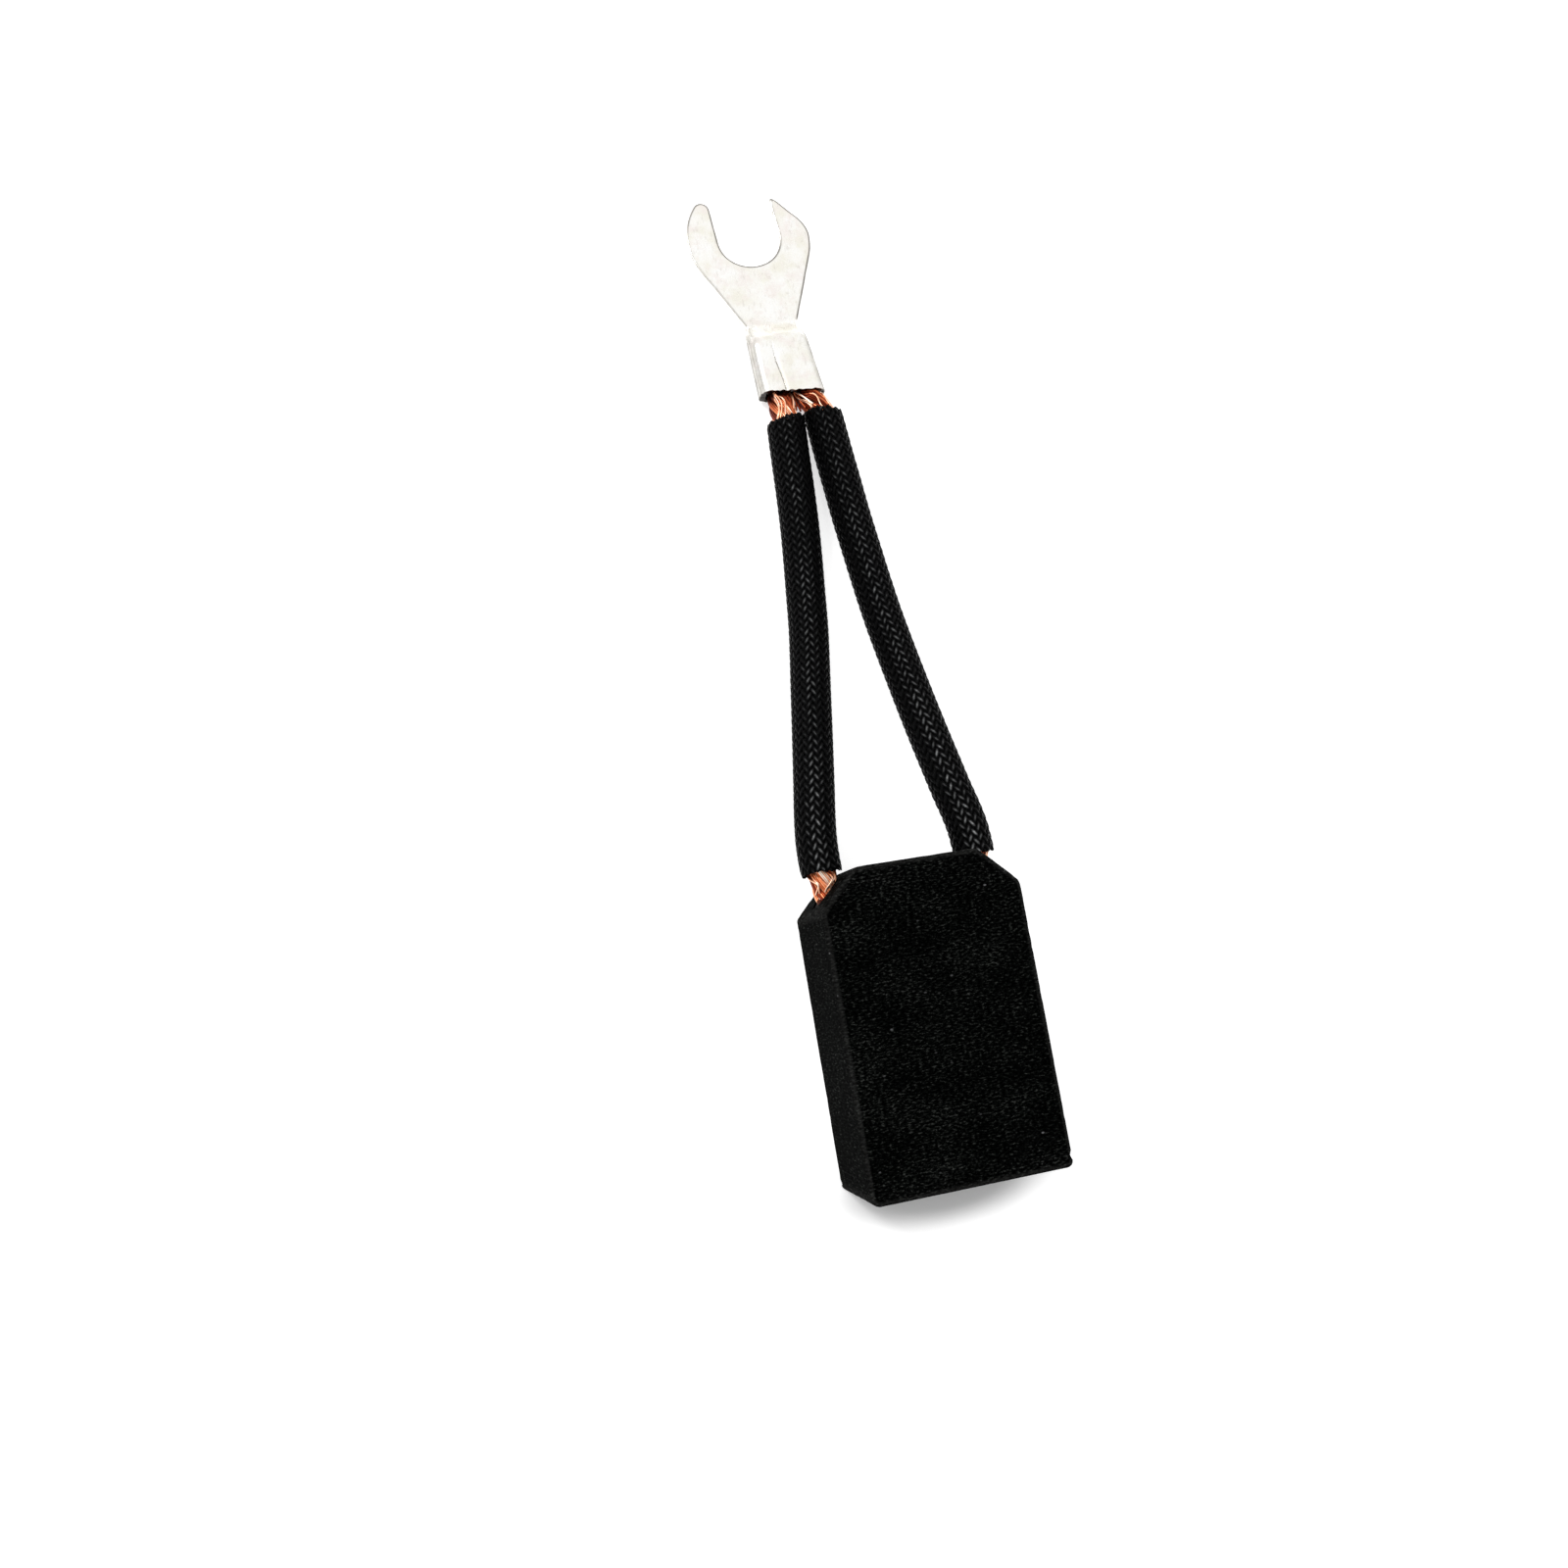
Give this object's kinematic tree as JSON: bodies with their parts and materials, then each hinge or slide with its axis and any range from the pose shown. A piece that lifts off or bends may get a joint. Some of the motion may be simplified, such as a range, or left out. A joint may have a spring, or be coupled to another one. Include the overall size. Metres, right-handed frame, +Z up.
{
  "type": "carbon brush",
  "caption": "Graphite brush block with cut shoulders and sleeved copper flexible leads joined in one tinned open-fork cable lug.",
  "frame": {"origin": "middle of the carbon block's underside, on the surface that the brush lies on", "axes": "+Y along the block from the contact face to the top face and on along the leads, +Z up through the block's thickness, +X across its width"},
  "size_m": [0.0324, 0.1713, 0.02],
  "materials": {
    "graphite": "matt pressed graphite",
    "tamping": "matt rammed powder",
    "copper_rope": "bright bare stranded copper",
    "braided_sleeve": "varnished black braid",
    "tinned_copper": "bright tin plate"
  },
  "bodies": {
    "root": {"carbon_block": "graphite", "tamping_left": "tamping", "tamping_right": "tamping", "lead_left": "copper_rope", "lead_right": "copper_rope", "sleeve_left": "braided_sleeve", "sleeve_right": "braided_sleeve", "fork_lug": "tinned_copper"}
  },
  "joints": []
}
